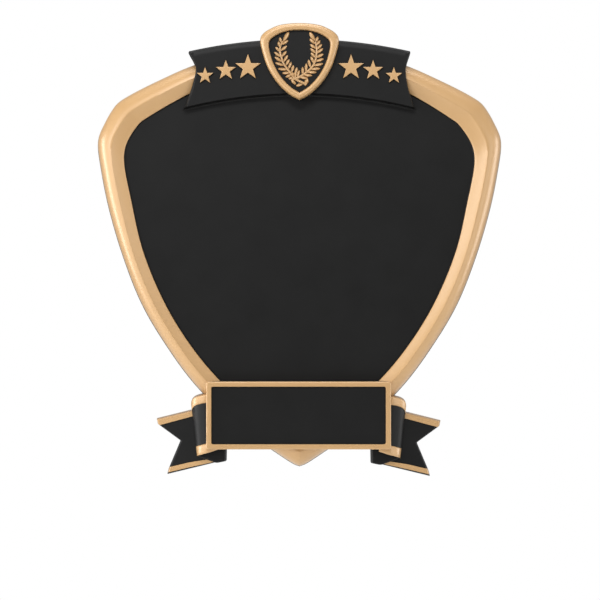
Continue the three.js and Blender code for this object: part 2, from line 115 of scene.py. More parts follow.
def mirrored_outline(half: HalfOutline, per_span: int) -> list[Vector]:
    """Closes a half outline with its mirror image, pointed at the tip.

    Args:
        half: Stations from the top centre down to the tip, on the right.
        per_span: Steps between each two stations.

    Returns:
        The whole outline, running anticlockwise from the tip.
    """
    right = [Vector(p) for p in reversed(half)]
    left = [Vector((-u, v)) for u, v in half[1:]]
    return smooth_through([*right, *left], per_span)[:-1]


def inset(
    outline: Sequence[Vector],
    distance: float,
    weigh: Callable[[Vector], float] = lambda normal: 1.0,
) -> list[Vector]:
    """Moves a closed anticlockwise outline inwards.

    Args:
        outline: The outline's points.
        distance: How far in, or out if negative.
        weigh: Scales the move by the outward normal.

    Returns:
        The moved outline.
    """
    moved = []
    for k, point in enumerate(outline):
        before = outline[k - 1]
        after = outline[(k + 1) % len(outline)]
        first = Vector((point.y - before.y, before.x - point.x)).normalized()
        second = Vector((after.y - point.y, point.x - after.x)).normalized()
        normal = (first + second).normalized()
        mitre = 1 / max(LEAST_MITRE, abs(normal.dot(first)))
        moved.append(point - normal * distance * mitre * weigh(normal))
    return moved


def rounded_polygon(corners: HalfOutline, distance: float, cut: float, steps: int = 5) -> list[Vector]:
    """Insets a polygon and rounds its corners.

    Args:
        corners: The polygon's corners, anticlockwise.
        distance: How far in, or out if negative.
        cut: Length of side that each rounding takes.
        steps: Steps round each corner.

    Returns:
        The rounded outline.
    """
    points = inset([Vector(p) for p in corners], distance)
    outline = []
    for k, corner in enumerate(points):
        before = points[k - 1]
        after = points[(k + 1) % len(points)]
        start = corner.lerp(before, cut / (before - corner).length)
        end = corner.lerp(after, cut / (after - corner).length)
        for step in range(steps + 1):
            t = step / steps
            outline.append(start * (1 - t) ** 2 + corner * 2 * t * (1 - t) + end * t * t)
    return outline


@dataclass(frozen=True)
class Arch:
    """Shallow arch across the face: half its width, height of its ends and of its middle."""

    half: float
    edge: float
    middle: float

    def points(self, steps: int, start: int) -> list[Vector]:
        """Points along the arch.

        Args:
            steps: Steps from end to end.
            start: 1 to run from the right end, -1 from the left.

        Returns:
            The points, both ends included.
        """
        rise = self.middle - self.edge
        radius = (self.half**2 + rise**2) / (2 * rise)
        sweep = math.asin(self.half / radius)
        turns = [start * sweep * (1 - 2 * k / steps) for k in range(steps + 1)]
        return [Vector((radius * math.sin(a), self.middle - radius * (1 - math.cos(a)))) for a in turns]


def level(outline: Sequence[Vector], height: float) -> list[Vector]:
    """Lifts a flat outline to one height off the wall."""
    return [Vector((p.x, p.y, height)) for p in outline]


def between(outer: Sequence[Vector], inner: Sequence[Vector], share: float, height: float) -> list[Vector]:
    """Ring part of the way from one matched outline to another.

    Args:
        outer: The outline at share 0.
        inner: The outline at share 1.
        share: How far across the ring lies.
        height: The ring's height off the wall.

    Returns:
        The ring's points.
    """
    return level([p.lerp(q, share) for p, q in zip(outer, inner)], height)


def section(outer: Sequence[Vector], inner: Sequence[Vector], profile: Profile) -> list[list[Vector]]:
    """Rings between two matched outlines, one for each place on the profile."""
    return [between(outer, inner, share, height) for share, height in profile]


# Shaping and placing


@dataclass
class Relief:
    """A mesh under way on the face of the shield."""

    bm: bmesh.types.BMesh = field(default_factory=bmesh.new)

    def loop(self, ring: Sequence[Vector]) -> list[bmesh.types.BMEdge]:
        """Lays one closed ring of edges and returns them."""
        verts = [self.bm.verts.new(p) for p in ring]
        return [self.bm.edges.new((verts[k - 1], verts[k])) for k in range(len(verts))]

    def loft(self, rings: Sequence[Sequence[Vector]], closed: bool = False) -> "Relief":
        """Bridges a stack of rings into one skin.

        Args:
            rings: Matched rings, in order.
            closed: Joins the last ring to the first, or else fills both ends.

        Returns:
            The same relief.
        """
        loops = [self.loop(ring) for ring in rings]
        for lower, upper in zip(loops, loops[1:]):
            bmesh.ops.bridge_loops(self.bm, edges=[*lower, *upper])
        if closed:
            bmesh.ops.bridge_loops(self.bm, edges=[*loops[-1], *loops[0]])
        else:
            for end in (loops[0], loops[-1]):
                bmesh.ops.contextual_create(self.bm, geom=end)
        return self

    def mirror(self) -> None:
        """Turns the mesh into its mirror image across u = 0."""
        bmesh.ops.scale(self.bm, vec=(-1, 1, 1), verts=self.bm.verts)

    def shift(self, u: float, v: float) -> "Relief":
        """Moves the mesh over the face and returns it."""
        bmesh.ops.translate(self.bm, vec=(u, v, 0), verts=self.bm.verts)
        return self

    def place(self, name: str) -> bpy.types.Object:
        """Stands the mesh in the world as an object at the origin.

        Args:
            name: The object's name.

        Returns:
            The new object.
        """
        bmesh.ops.transform(self.bm, matrix=FACE_TO_WORLD, verts=self.bm.verts)
        bmesh.ops.recalc_face_normals(self.bm, faces=self.bm.faces)
        mesh = bpy.data.meshes.new(name)
        self.bm.to_mesh(mesh)
        self.bm.free()
        piece = bpy.data.objects.new(name, mesh)
        bpy.context.scene.collection.objects.link(piece)
        return piece


def soften(piece: bpy.types.Object, sharp_degrees: float = 38) -> None:
    """Shades a piece smooth across shallow edges and keeps its flats flat.

    Args:
        piece: The piece to shade.
        sharp_degrees: Edges steeper than this stay crisp.
    """
    piece.data.shade_smooth()
    piece.data.set_sharp_from_angle(angle=math.radians(sharp_degrees))
    weights = piece.modifiers.new("even_shading", "WEIGHTED_NORMAL")
    weights.keep_sharp = True


def combine(
    name: str,
    body: bpy.types.Object,
    steps: Sequence[tuple[str, bpy.types.Object]],
) -> bpy.types.Object:
    """Joins closed solids to a body, or cuts it by them, one after another.

    Args:
        name: The result's name.
        body: The solid to start from.
        steps: Boolean operation and the other solid, in order.

    Returns:
        The resulting solid. The solids that went into it are used up.
    """
    for operation, other in steps:
        modifier = body.modifiers.new(operation, "BOOLEAN")
        modifier.operation = operation
        modifier.solver = "MANIFOLD"
        modifier.object = other
    graph = bpy.context.evaluated_depsgraph_get()
    mesh = bpy.data.meshes.new_from_object(body.evaluated_get(graph))
    mesh.name = name
    for used in (body, *(other for _, other in steps)):
        bpy.data.objects.remove(used)
    piece = bpy.data.objects.new(name, mesh)
    bpy.context.scene.collection.objects.link(piece)
    return piece


# Finishes


def linear(srgb: str) -> tuple[float, float, float, float]:
    """Turns an sRGB colour into a linear one.

    Args:
        srgb: The colour as a hash sign and six hex digits.

    Returns:
        Linear red, green and blue, and an alpha of 1.
    """
    knee, slope, offset, gamma = 0.04045, 12.92, 0.055, 2.4
    parts = [int(srgb[k : k + 2], 16) / 255 for k in (1, 3, 5)]
    rgb = [c / slope if c <= knee else ((c + offset) / (1 + offset)) ** gamma for c in parts]
    return (*rgb, 1.0)


def per_mm(size: float) -> float:
    """Texture scale whose features are about size millimetres across."""
    return 1 / (size * MM)


def add_node(
    tree: bpy.types.NodeTree,
    kind: str,
    inputs: dict[str | int, object] | None = None,
    **settings: object,
) -> bpy.types.Node:
    """Adds a shader node with its settings, values and links.

    Args:
        tree: The tree it joins.
        kind: The node's type.
        inputs: Values or sockets by input name or number.
        **settings: Properties of the node.

    Returns:
        The new node.
    """
    node = tree.nodes.new(kind)
    for key, value in settings.items():
        setattr(node, key, value)
    for key, value in (inputs or {}).items():
        if isinstance(value, bpy.types.NodeSocket):
            tree.links.new(value, node.inputs[key])
        else:
            node.inputs[key].default_value = value
    return node


def new_material(name: str) -> tuple[bpy.types.Material, bpy.types.NodeTree, bpy.types.NodeSocket]:
    """Starts a material with an empty tree.

    Args:
        name: The material's name.

    Returns:
        The material, its tree, and the coordinates that its patterns read.
    """
    material = bpy.data.materials.new(name)
    material.use_nodes = True
    tree = material.node_tree
    tree.nodes.clear()
    return material, tree, add_node(tree, "ShaderNodeTexCoord").outputs["Object"]


@dataclass(frozen=True)
class AntiqueGoldPaint:
    """Brushed-on gold bronze paint: fine metal flake in a clear lacquer.

    To the eye it is an even, soft gold, with a whitish gloss on what turns to a
    light. In creases and corners its colour is a painted shade of brown, laid where ambient occlusion finds
    them.
    """

    body: str = "#BD9663"
    worn: str = "#B9915F"
    # Brown of the painted shade in creases and corners, not a colour that the paint itself has.
    hollow: str = "#6E3F20"
    metallic: float = 0.2
    smoothest: float = 0.43
    roughest: float = 0.53
    lacquer: float = 1.0
    lacquer_roughness: float = 0.3
    mottle_mm: float = 7.0
    flake_mm: float = 0.35
    flake_relief_mm: float = 0.1
    flake_strength: float = 0.07
    painted_shade_reach_mm: float = 0.8
    # Openness of a place where the painted crease shade is at its most, and where it ends.
    painted_shade_span: tuple[float, float] = (0.15, 0.6)
    painted_shade_most: float = 0.65

    def make(self) -> bpy.types.Material:
        """Builds the material.

        Returns:
            The material.
        """
        material, tree, place = new_material("antique_gold_bronze_paint")
        mottle = add_node(
            tree, "ShaderNodeTexNoise",
            {"Vector": place, "Scale": per_mm(self.mottle_mm), "Detail": 4.0, "Roughness": 0.6},
        )
        # Flakes are some 0.05 mm across and are drawn coarser, so that they show.
        flake = add_node(
            tree, "ShaderNodeTexNoise",
            {"Vector": place, "Scale": per_mm(self.flake_mm), "Detail": 3.0, "Roughness": 0.7},
        )
        tint = add_node(
            tree, "ShaderNodeMix",
            {0: mottle.outputs["Fac"], 6: linear(self.body), 7: linear(self.worn)},
            data_type="RGBA",
        )
        # Painted shade: ambient occlusion darkens the colour towards the hollow brown in creases and
        # corners.
        shade = add_node(
            tree, "ShaderNodeAmbientOcclusion",
            {"Distance": self.painted_shade_reach_mm * MM}, samples=8,
        )
        depth = add_node(
            tree, "ShaderNodeMapRange",
            {
                "Value": shade.outputs["AO"], "From Min": self.painted_shade_span[0],
                "From Max": self.painted_shade_span[1], "To Min": self.painted_shade_most, "To Max": 0.0,
            },
        )
        colour = add_node(
            tree, "ShaderNodeMix",
            {0: depth.outputs["Result"], 6: tint.outputs[2], 7: linear(self.hollow)},
            data_type="RGBA",
        )
        sheen = add_node(
            tree, "ShaderNodeMapRange",
            {
                "Value": flake.outputs["Fac"], "From Min": 0.3, "From Max": 0.7,
                "To Min": self.smoothest, "To Max": self.roughest,
            },
        )
        bump = add_node(
            tree, "ShaderNodeBump",
            {
                "Height": flake.outputs["Fac"], "Strength": self.flake_strength,
                "Distance": self.flake_relief_mm * MM,
            },
        )
        shader = add_node(
            tree, "ShaderNodeBsdfPrincipled",
            {
                "Base Color": colour.outputs[2], "Roughness": sheen.outputs["Result"],
                "Normal": bump.outputs["Normal"], "Metallic": self.metallic,
                "Coat Weight": self.lacquer, "Coat Roughness": self.lacquer_roughness,
            },
        )
        add_node(tree, "ShaderNodeOutputMaterial", {"Surface": shader.outputs["BSDF"]})
        return material


@dataclass(frozen=True)
class SatinBlackPaint:
    """Sprayed satin black enamel over cast resin.

    To the eye it is a deep black with a soft sheen, a faint orange peel, and
    slightly duller clouds where dust has settled.
    """

    body: str = "#040404"
    dusty: str = "#080808"
    ior: float = 1.5
    specular: float = 0.26
    smoothest: float = 0.46
    roughest: float = 0.52
    cloud_mm: float = 14.0
    peel_mm: float = 0.9
    peel_relief_mm: float = 0.08
    peel_strength: float = 0.1

    def make(self) -> bpy.types.Material:
        """Builds the material.

        Returns:
            The material.
        """
        material, tree, place = new_material("satin_black_enamel")
        cloud = add_node(
            tree, "ShaderNodeTexNoise",
            {"Vector": place, "Scale": per_mm(self.cloud_mm), "Detail": 5.0, "Roughness": 0.6},
        )
        peel = add_node(
            tree, "ShaderNodeTexNoise",
            {"Vector": place, "Scale": per_mm(self.peel_mm), "Detail": 2.0, "Roughness": 0.5},
        )
        colour = add_node(
            tree, "ShaderNodeMix",
            {0: cloud.outputs["Fac"], 6: linear(self.body), 7: linear(self.dusty)},
            data_type="RGBA",
        )
        sheen = add_node(
            tree, "ShaderNodeMapRange",
            {
                "Value": cloud.outputs["Fac"], "From Min": 0.3, "From Max": 0.7,
                "To Min": self.smoothest, "To Max": self.roughest,
            },
        )
        bump = add_node(
            tree, "ShaderNodeBump",
            {
                "Height": peel.outputs["Fac"], "Strength": self.peel_strength,
                "Distance": self.peel_relief_mm * MM,
            },
        )
        shader = add_node(
            tree, "ShaderNodeBsdfPrincipled",
            {
                "Base Color": colour.outputs[2], "Roughness": sheen.outputs["Result"],
                "Normal": bump.outputs["Normal"], "Specular IOR Level": self.specular, "IOR": self.ior,
            },
        )
        add_node(tree, "ShaderNodeOutputMaterial", {"Surface": shader.outputs["BSDF"]})
        return material


@dataclass
class Paints:
    """The two paints, made once and worn by every piece."""

    gold: bpy.types.Material = field(default_factory=lambda: AntiqueGoldPaint().make())
    black: bpy.types.Material = field(default_factory=lambda: SatinBlackPaint().make())

    def dress(self, piece: bpy.types.Object, slot: Slot) -> bpy.types.Object:
        """Paints a piece, and binds it to the casting that it stands for.

        Args:
            piece: The finished piece.
            slot: Which paint it wears.

        Returns:
            The same piece.
        """
        piece.data.materials.clear()
        piece.data.materials.append(self.gold if slot is Slot.GOLD else self.black)
        soften(piece)
        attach(piece, "root")
        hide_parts(NODE)
        LOG.info("%s: %d faces, %s", piece.name, len(piece.data.polygons), slot.value)
        return piece


# The shield's parts


@dataclass(frozen=True)
class Heights:
    """Heights off the wall, and the edges that every block shares."""

    ground: float = 9.4
    frame_wall: float = 5.2
    frame_ridge: float = 12.8
    frame_lip: float = 10.6
    banner: float = 14.0
    star_rise: float = 1.3
    crest_wall: float = 15.6
    crest_rim: float = 18.0
    crest_lip: float = 17.3
    crest_field: float = 15.7
    leaf_rise: float = 1.1
    panel_rim: float = 16.0
    panel_seat: float = 14.9
    fold: float = 13.2
    fold_edge: float = 7.6
    loop: float = 9.3
    tail_root: float = 7.4
    tail_end: float = 5.1
    border_rise: float = 0.5
    draft: float = 0.5
    edge_round: float = 0.45
    sunk: float = 0.6


H = Heights()


def block(
    corners: HalfOutline,
    cut: float,
    height_at: Callable[[Vector], float],
    rounding: float = H.edge_round,
    grow: float = 0.0,
    steps: int = 4,
) -> Relief:
    """Block from the wall up, with drafted walls and rounded upper edges.

    Args:
        corners: Its plan, anticlockwise.
        cut: Length of side that each corner's rounding takes.
        height_at: Height of its top at a place on the plan.
        rounding: Radius of its upper edge.
        grow: How far its walls stand out from the plan.
        steps: Steps round its upper edge.

    Returns:
        The block's mesh.
    """
    rings = [level(rounded_polygon(corners, -H.draft - grow, cut), 0)]
    for step in range(steps + 1):
        turn = math.pi / 2 * step / steps
        outline = rounded_polygon(corners, rounding * (1 - math.cos(turn)) - grow, cut)
        fall = rounding * (1 - math.sin(turn))
        rings.append([Vector((p.x, p.y, height_at(p) - fall)) for p in outline])
    return Relief().loft(rings)


@dataclass
class ShieldFrame:
    """The shield's black ground and the gold moulding round it."""

    outer: HalfOutline = (
        (0, 92.4), (24.4, 89.2), (47, 83.3), (62.8, 76.5), (77, 69.3), (82.2, 65.8),
        (85.1, 62), (88.1, 56.6), (90.5, 51.1), (91, 46.7), (89.7, 36.7), (86.3, 19.5),
        (79.7, -3.1), (71.1, -24.8), (60.5, -42.8), (47.2, -60.9), (28.2, -79.6),
        (11.4, -91.2), (2.4, -97), (0, -97.9),
    )
    inner: HalfOutline = (
        (0, 82.5), (23.2, 79.5), (43, 72.8), (58.2, 65.4), (70.3, 58.3), (71.9, 57.1),
        (74, 54.6), (76.4, 50.9), (78.1, 47.2), (79, 43), (78.8, 37.3), (75.8, 22.3),
        (70.8, 0.4), (62.3, -21), (52.8, -37.8), (40, -54.7), (23, -71),
        (7.4, -80.6), (1.6, -83.6), (0, -84.1),
    )
    per_span: int = 6
    ridge_share: float = 0.53
    roll_degrees: float = 82
    roll_steps: int = 14
    gilding_starts: float = 3.4
    # The hollow, from the ridge down to a small flat lip: share across, and fall from the ridge.
    hollow: HalfOutline = (
        (0.555, 0.16), (0.6, 0.42), (0.7, 0.92), (0.8, 1.37), (0.9, 1.78), (0.975, 2.08),
    )
    # The inner edge is drawn in round its upper corners, more on the right.
    corner: tuple[float, float] = (72, 56)
    corner_reach: float = 17
    left_corner_in: float = 0.35
    right_corner_in: float = 1.0

    def drawn_in(self, point: Vector) -> Vector:
        """Moves a point of the inner outline in, if it lies near an upper corner.

        Args:
            point: The point on the mirrored outline.

        Returns:
            The moved point.
        """
        corner = Vector((math.copysign(self.corner[0], point.x), self.corner[1]))
        most = self.right_corner_in if point.x > 0 else self.left_corner_in
        share = math.exp(-(((point - corner).length / self.corner_reach) ** 2))
        return point - corner.normalized() * most * share

    def outlines(self) -> tuple[list[Vector], list[Vector]]:
        """Outer and inner outlines, matched point for point."""
        inner = mirrored_outline(self.inner, self.per_span)
        return mirrored_outline(self.outer, self.per_span), [self.drawn_in(point) for point in inner]

    def ground(self) -> bpy.types.Object:
        """Builds the flat-backed ground, drawn in under the moulding.

        Returns:
            The ground, from the wall up to the black field.
        """
        outer, inner = self.outlines()
        lip, start = H.frame_lip, self.gilding_starts
        profile = (
            (0.12, start + 0.3), (0.9, lip - 0.9), (0.985, lip - 0.55), (0.998, lip - 0.4),
            (1.006, lip - 0.6), (1.02, H.ground + 0.15), (1.035, H.ground),
        )
        rings = [level(inset(outer, -H.draft), 0), level(outer, start), *section(outer, inner, profile)]
        return Relief().loft(rings).place("shield_ground")

    def moulding(self) -> bpy.types.Object:
        """Builds the moulding: side, outer roll, ridge, hollow and lip.

        Returns:
            The moulding, a closed ring round the field.
        """
        start, lip = self.gilding_starts, H.frame_lip
        profile = [(0.16, start - 0.2), (0.005, start - 0.1), (0, H.frame_wall)]
        end = math.radians(self.roll_degrees)
        for k in range(1, self.roll_steps + 1):
            turn = end * k / self.roll_steps
            share = self.ridge_share * (1 - math.cos(turn)) / (1 - math.cos(end))
            rise = (H.frame_ridge - H.frame_wall) * math.sin(turn) / math.sin(end)
            profile.append((share, H.frame_wall + rise))
        profile += [(share, H.frame_ridge - fall) for share, fall in self.hollow]
        profile += [(0.99, lip - 0.04), (0.999, lip - 0.22), (0.98, lip - 0.8), (0.85, lip - 1.2)]
        rings = section(*self.outlines(), profile)
        return Relief().loft(rings, closed=True).place("frame_moulding")


@dataclass
class Keyhole:
    """Recess in the back that takes the head of the hanging screw."""

    v: float = 74
    entry: float = 10
    slot: float = 5
    travel: float = 9
    lip: float = 2.4
    depth: float = 7.5
    below: float = -1.0
    arc_steps: int = 24

    def slot_ring(self, width: float, travel: float, height: float) -> list[Vector]:
        """Round-ended upright slot as a ring.

        Args:
            width: The slot's width, and the diameter of its ends.
            travel: Distance between the centres of its ends.
            height: The ring's height off the wall.

        Returns:
            The ring's points.
        """
        ring = []
        for k in range(2 * self.arc_steps):
            angle = math.pi * (k + 0.5) / self.arc_steps + math.pi
            centre = self.v + (travel if math.sin(angle) > 0 else 0)
            ring.append(Vector((width / 2 * math.cos(angle), centre + width / 2 * math.sin(angle), height)))
        return ring

    def cutters(self) -> list[bpy.types.Object]:
        """Builds the solids that cut the keyhole.

        Returns:
            The entry, the slot and the room behind the lip.
        """
        shapes = {
            "keyhole_entry": (self.entry, 0.0, self.below),
            "keyhole_slot": (self.slot, self.travel, self.below),
            "keyhole_room": (self.entry, self.travel, self.lip),
        }
        solids = []
        for name, (width, travel, start) in shapes.items():
            rings = [self.slot_ring(width, travel, height) for height in (start, self.depth)]
            solids.append(Relief().loft(rings).place(name))
        return solids


@dataclass
class Banner:
    """Arched black banner with gold stars."""

    top: Arch = Arch(49.7, 88.8, 94.3)
    bottom: Arch = Arch(51.6, 63.3, 69.7)
    waist: tuple[float, ...] = (0.44, 0.733)
    drawn_in: dict[Side, tuple[float, ...]] = field(
        default_factory=lambda: {Side.LEFT: (2.9, 3.6), Side.RIGHT: (2.4, 2.4)}
    )
    arch_steps: int = 60
    end_steps: int = 8
    roll: float = 3.2
    foot: float = 1.0
    # The foot: share of its spread, and height above the field.
    foot_profile: HalfOutline = ((1, 0.25), (0.6, 0.5), (0.35, 1), (0.1, 1.8), (0, 2.6))
    # The rolled edge: share of the roll in from the edge, and fall from the top.
    roll_profile: HalfOutline = (
        (0.1, 0.9), (0.18, 0.66), (0.28, 0.46), (0.4, 0.3), (0.58, 0.15), (0.78, 0.04), (1, 0),
    )
    side_roll: float = 0.06
    stars: tuple[tuple[float, float, float], ...] = ((23.1, 81.3, 6), (33, 80, 4.7), (42.3, 77.6, 3.9))
    star_waist: float = 0.4
    star_bevel: float = 0.3

    def end(self, side: Side) -> list[Vector]:
        """One end of the banner, as if on the right.

        Args:
            side: Whose waist it has.

        Returns:
            The points between its corners, from the lower one up.
        """
        lower = Vector((self.bottom.half, self.bottom.edge))
        upper = Vector((self.top.half, self.top.edge))
        waist = [
            lower.lerp(upper, share) - Vector((inwards, 0))
            for share, inwards in zip(self.waist, self.drawn_in[side])
        ]
        return smooth_through([lower, *waist, upper], self.end_steps)[1:-1]

    def outline(self) -> list[Vector]:
        """The banner's outline.

        Returns:
            The points, anticlockwise from the lower left corner.
        """
        left = [Vector((-p.x, p.y)) for p in reversed(self.end(Side.LEFT))]
        lower = self.bottom.points(self.arch_steps, start=-1)
        upper = self.top.points(self.arch_steps, start=1)
        return [*lower, *self.end(Side.RIGHT), *upper, *left]

    def band(self) -> bpy.types.Object:
        """Builds the band with its rolled top edge and spreading foot.

        Returns:
            The band, from the wall up.
        """
        outline = self.outline()

        def downward(normal: Vector) -> float:
            """Weight of an edge that faces down."""
            return max(0.0, -normal.y)

        def upward(normal: Vector) -> float:
            """Weight of an edge that faces up, with a little for the rest."""
            return self.side_roll + (1 - self.side_roll) * max(0.0, normal.y)

        rings = [
            level(inset(outline, -H.draft), 0),
            level(inset(inset(outline, -0.1), -self.foot, downward), H.ground - 0.6),
        ]
        for out, rise in self.foot_profile:
            rings.append(level(inset(outline, -self.foot * out, downward), H.ground + rise))
        for away, fall in self.roll_profile:
            rings.append(level(inset(outline, self.roll * away, upward), H.banner - fall))
        return Relief().loft(rings).place("banner_band")

    def star(self, name: str, u: float, v: float, radius: float) -> bpy.types.Object:
        """Builds one upright star with a bevelled edge.

        Args:
            name: The star's name.
            u: Its centre across the face.
            v: Its centre up the face.
            radius: Distance from its centre to its points.

        Returns:
            The star.
        """
        outline = []
        for k in range(10):
            reach = radius * (1 if k % 2 == 0 else self.star_waist)
            angle = math.pi / 2 + k * math.pi / 5
            outline.append(Vector((u + reach * math.cos(angle), v + reach * math.sin(angle))))
        top = H.banner + H.star_rise
        rings = [
            level(outline, H.banner - H.sunk),
            level(outline, top - self.star_bevel),
            level(inset(outline, self.star_bevel * 0.35), top - self.star_bevel * 0.3),
            level(inset(outline, self.star_bevel), top),
        ]
        return Relief().loft(rings).place(name)

    def all_stars(self) -> list[bpy.types.Object]:
        """Builds the three stars on each half.

        Returns:
            The six stars, largest first.
        """
        built = []
        for k, (u, v, radius) in enumerate(self.stars, start=1):
            built.append(self.star(f"star_right_{k}", u, v, radius))
            built.append(self.star(f"star_left_{k}", -u, v, radius))
        return built


@dataclass
class Crest:
    """Small shield at the top: a gold rim round a black seat."""

    v: float = 101.1
    outer: HalfOutline = (
        (0, 0), (4.6, -0.2), (9.4, -1), (12.8, -2.4), (15.5, -4), (17.2, -5.9),
        (17.65, -8.2), (16.4, -13.9), (14, -20.5), (9.6, -27.2), (4.3, -32.1), (0, -34.4),
    )
    inner: HalfOutline = (
        (0, -3.2), (4.1, -3.45), (8.2, -4.5), (11, -5.9), (12.9, -7.4), (13.6, -8.7),
        (13.7, -10.2), (13.1, -13.6), (11.4, -18.7), (8.1, -24.3), (3.9, -28.7), (0, -31.2),
    )
    per_span: int = 6

    def outlines(self) -> tuple[list[Vector], list[Vector]]:
        """Outer and inner outlines of the rim, matched point for point."""
        return mirrored_outline(self.outer, self.per_span), mirrored_outline(self.inner, self.per_span)

    def seat(self) -> bpy.types.Object:
        """Builds the black block inside the rim.

        Returns:
            The block, from the wall up.
        """
        outer, inner = self.outlines()
        profile = (
            (0.02, H.banner - 0.9), (0.2, H.banner - 0.6), (0.9, H.crest_field - 0.3), (0.97, H.crest_field),
        )
        rings = [level(inset(outer, -H.draft), 0), *section(outer, inner, profile)]
        return Relief().loft(rings).shift(0, self.v).place("crest_seat")

    def rim(self) -> bpy.types.Object:
        """Builds the rounded gold rim.

        Returns:
            The rim, a closed ring round the seat.
        """
        top = H.crest_rim
        profile = (
            (0.25, H.banner - 1.6), (0.01, H.banner - 1.2), (0, H.crest_wall), (0.02, top - 1.85),
            (0.055, top - 1.4), (0.1, top - 1.02), (0.17, top - 0.62), (0.26, top - 0.32),
            (0.36, top - 0.1), (0.48, top), (0.66, top - 0.01), (0.8, top - 0.1),
            (0.9, top - 0.3), (0.96, H.crest_lip), (0.985, H.crest_lip - 0.5),
            (1, H.crest_field - 0.3), (0.85, H.crest_field - 0.5),
        )
        rings = section(*self.outlines(), profile)
        return Relief().loft(rings, closed=True).shift(0, self.v).place("crest_rim")


@dataclass(frozen=True)
class Branch:
    """One laurel branch: its stem from foot to growing end, and its leaves."""

    stem: HalfOutline
    leaves: LeafPlaces
    leaf_width: float = 1.45
    end_leaf_width: float = 1.9
    leaf_sides: int = 14
    leaf_bands: int = 10
    # Powers that shape a leaf: over 1 it is widest past its middle, and below 1 its ends are blunt.
    widest: float = 1.15
    bluntness: float = 0.55
    crown: float = 0.6
    rib_depth: float = 0.2
    rib_width: float = 0.22
    leaf_sunk: float = 0.05
    stem_width: float = 1.25
    stem_sides: int = 8
    stem_span_steps: int = 16
    stem_stride: int = 5
    stem_taper: float = 0.35
    stem_lift: float = 0.1

    def add_leaf(self, bm: bmesh.types.BMesh, root: Vector, way: Vector, width: float) -> None:
        """Adds one plump blunt leaf with a shallow midrib.

        Args:
            bm: The wreath's mesh.
            root: Where the leaf leaves its stem.
            way: From its root to its tip, across the face.
            width: Its greatest width.
        """
        radius, thinnest = 0.5, 1e-6
        verts = bmesh.ops.create_uvsphere(
            bm, u_segments=self.leaf_sides, v_segments=self.leaf_bands, radius=radius
        )["verts"]
        for vert in verts:
            along = min(max(vert.co.z + radius, 0.0), 1.0)
            fullness = max(math.sin(math.pi * along**self.widest), 0.0) ** self.bluntness
            round_half = max((radius**2 - vert.co.z**2) ** 0.5, thinnest)
            across = vert.co.x / round_half
            up = vert.co.y / round_half
            rib = 1 - self.rib_depth * math.exp(-((across / self.rib_width) ** 2)) if up > 0 else 1
            vert.co = Vector((
                along * way.length,
                across * width / 2 * fullness,
                up * H.leaf_rise * fullness**self.crown * rib,
            ))
        turn = Matrix.Rotation(math.atan2(way.y, way.x), 4, "Z")
        seat = Matrix.Translation((root.x, root.y, H.crest_field - self.leaf_sunk))
        bmesh.ops.transform(bm, matrix=seat @ turn, verts=verts)

    def add_stem(self, bm: bmesh.types.BMesh) -> None:
        """Adds the stem as a tapering rod.

        Args:
            bm: The wreath's mesh.
        """
        curve = smooth_through([Vector(p) for p in self.stem], self.stem_span_steps)
        path = curve[:: self.stem_stride]
        middle = H.crest_field + H.leaf_rise * self.stem_lift
        rings = []
        for k, point in enumerate(path):
            ahead = path[min(k + 1, len(path) - 1)] - path[max(k - 1, 0)]
            across = Vector((-ahead.y, ahead.x)).normalized()
            half = self.stem_width / 2 * (1 - self.stem_taper * k / len(path))
            turns = [2 * math.pi * side / self.stem_sides for side in range(self.stem_sides)]
            rings.append([
                Vector((*(point + across * half * math.cos(turn)), middle + half * math.sin(turn)))
                for turn in turns
            ])
        Relief(bm).loft(rings)

    def grow(self, bm: bmesh.types.BMesh) -> None:
        """Adds the stem and its leaves, of which the last is the one at the growing end.

        Args:
            bm: The wreath's mesh.
        """
        self.add_stem(bm)
        for k, (root_u, root_v, tip_u, tip_v) in enumerate(self.leaves):
            root = Vector((root_u, root_v))
            way = Vector((tip_u, tip_v)) - root
            width = self.end_leaf_width if k == len(self.leaves) - 1 else self.leaf_width
            self.add_leaf(bm, root, way, width)


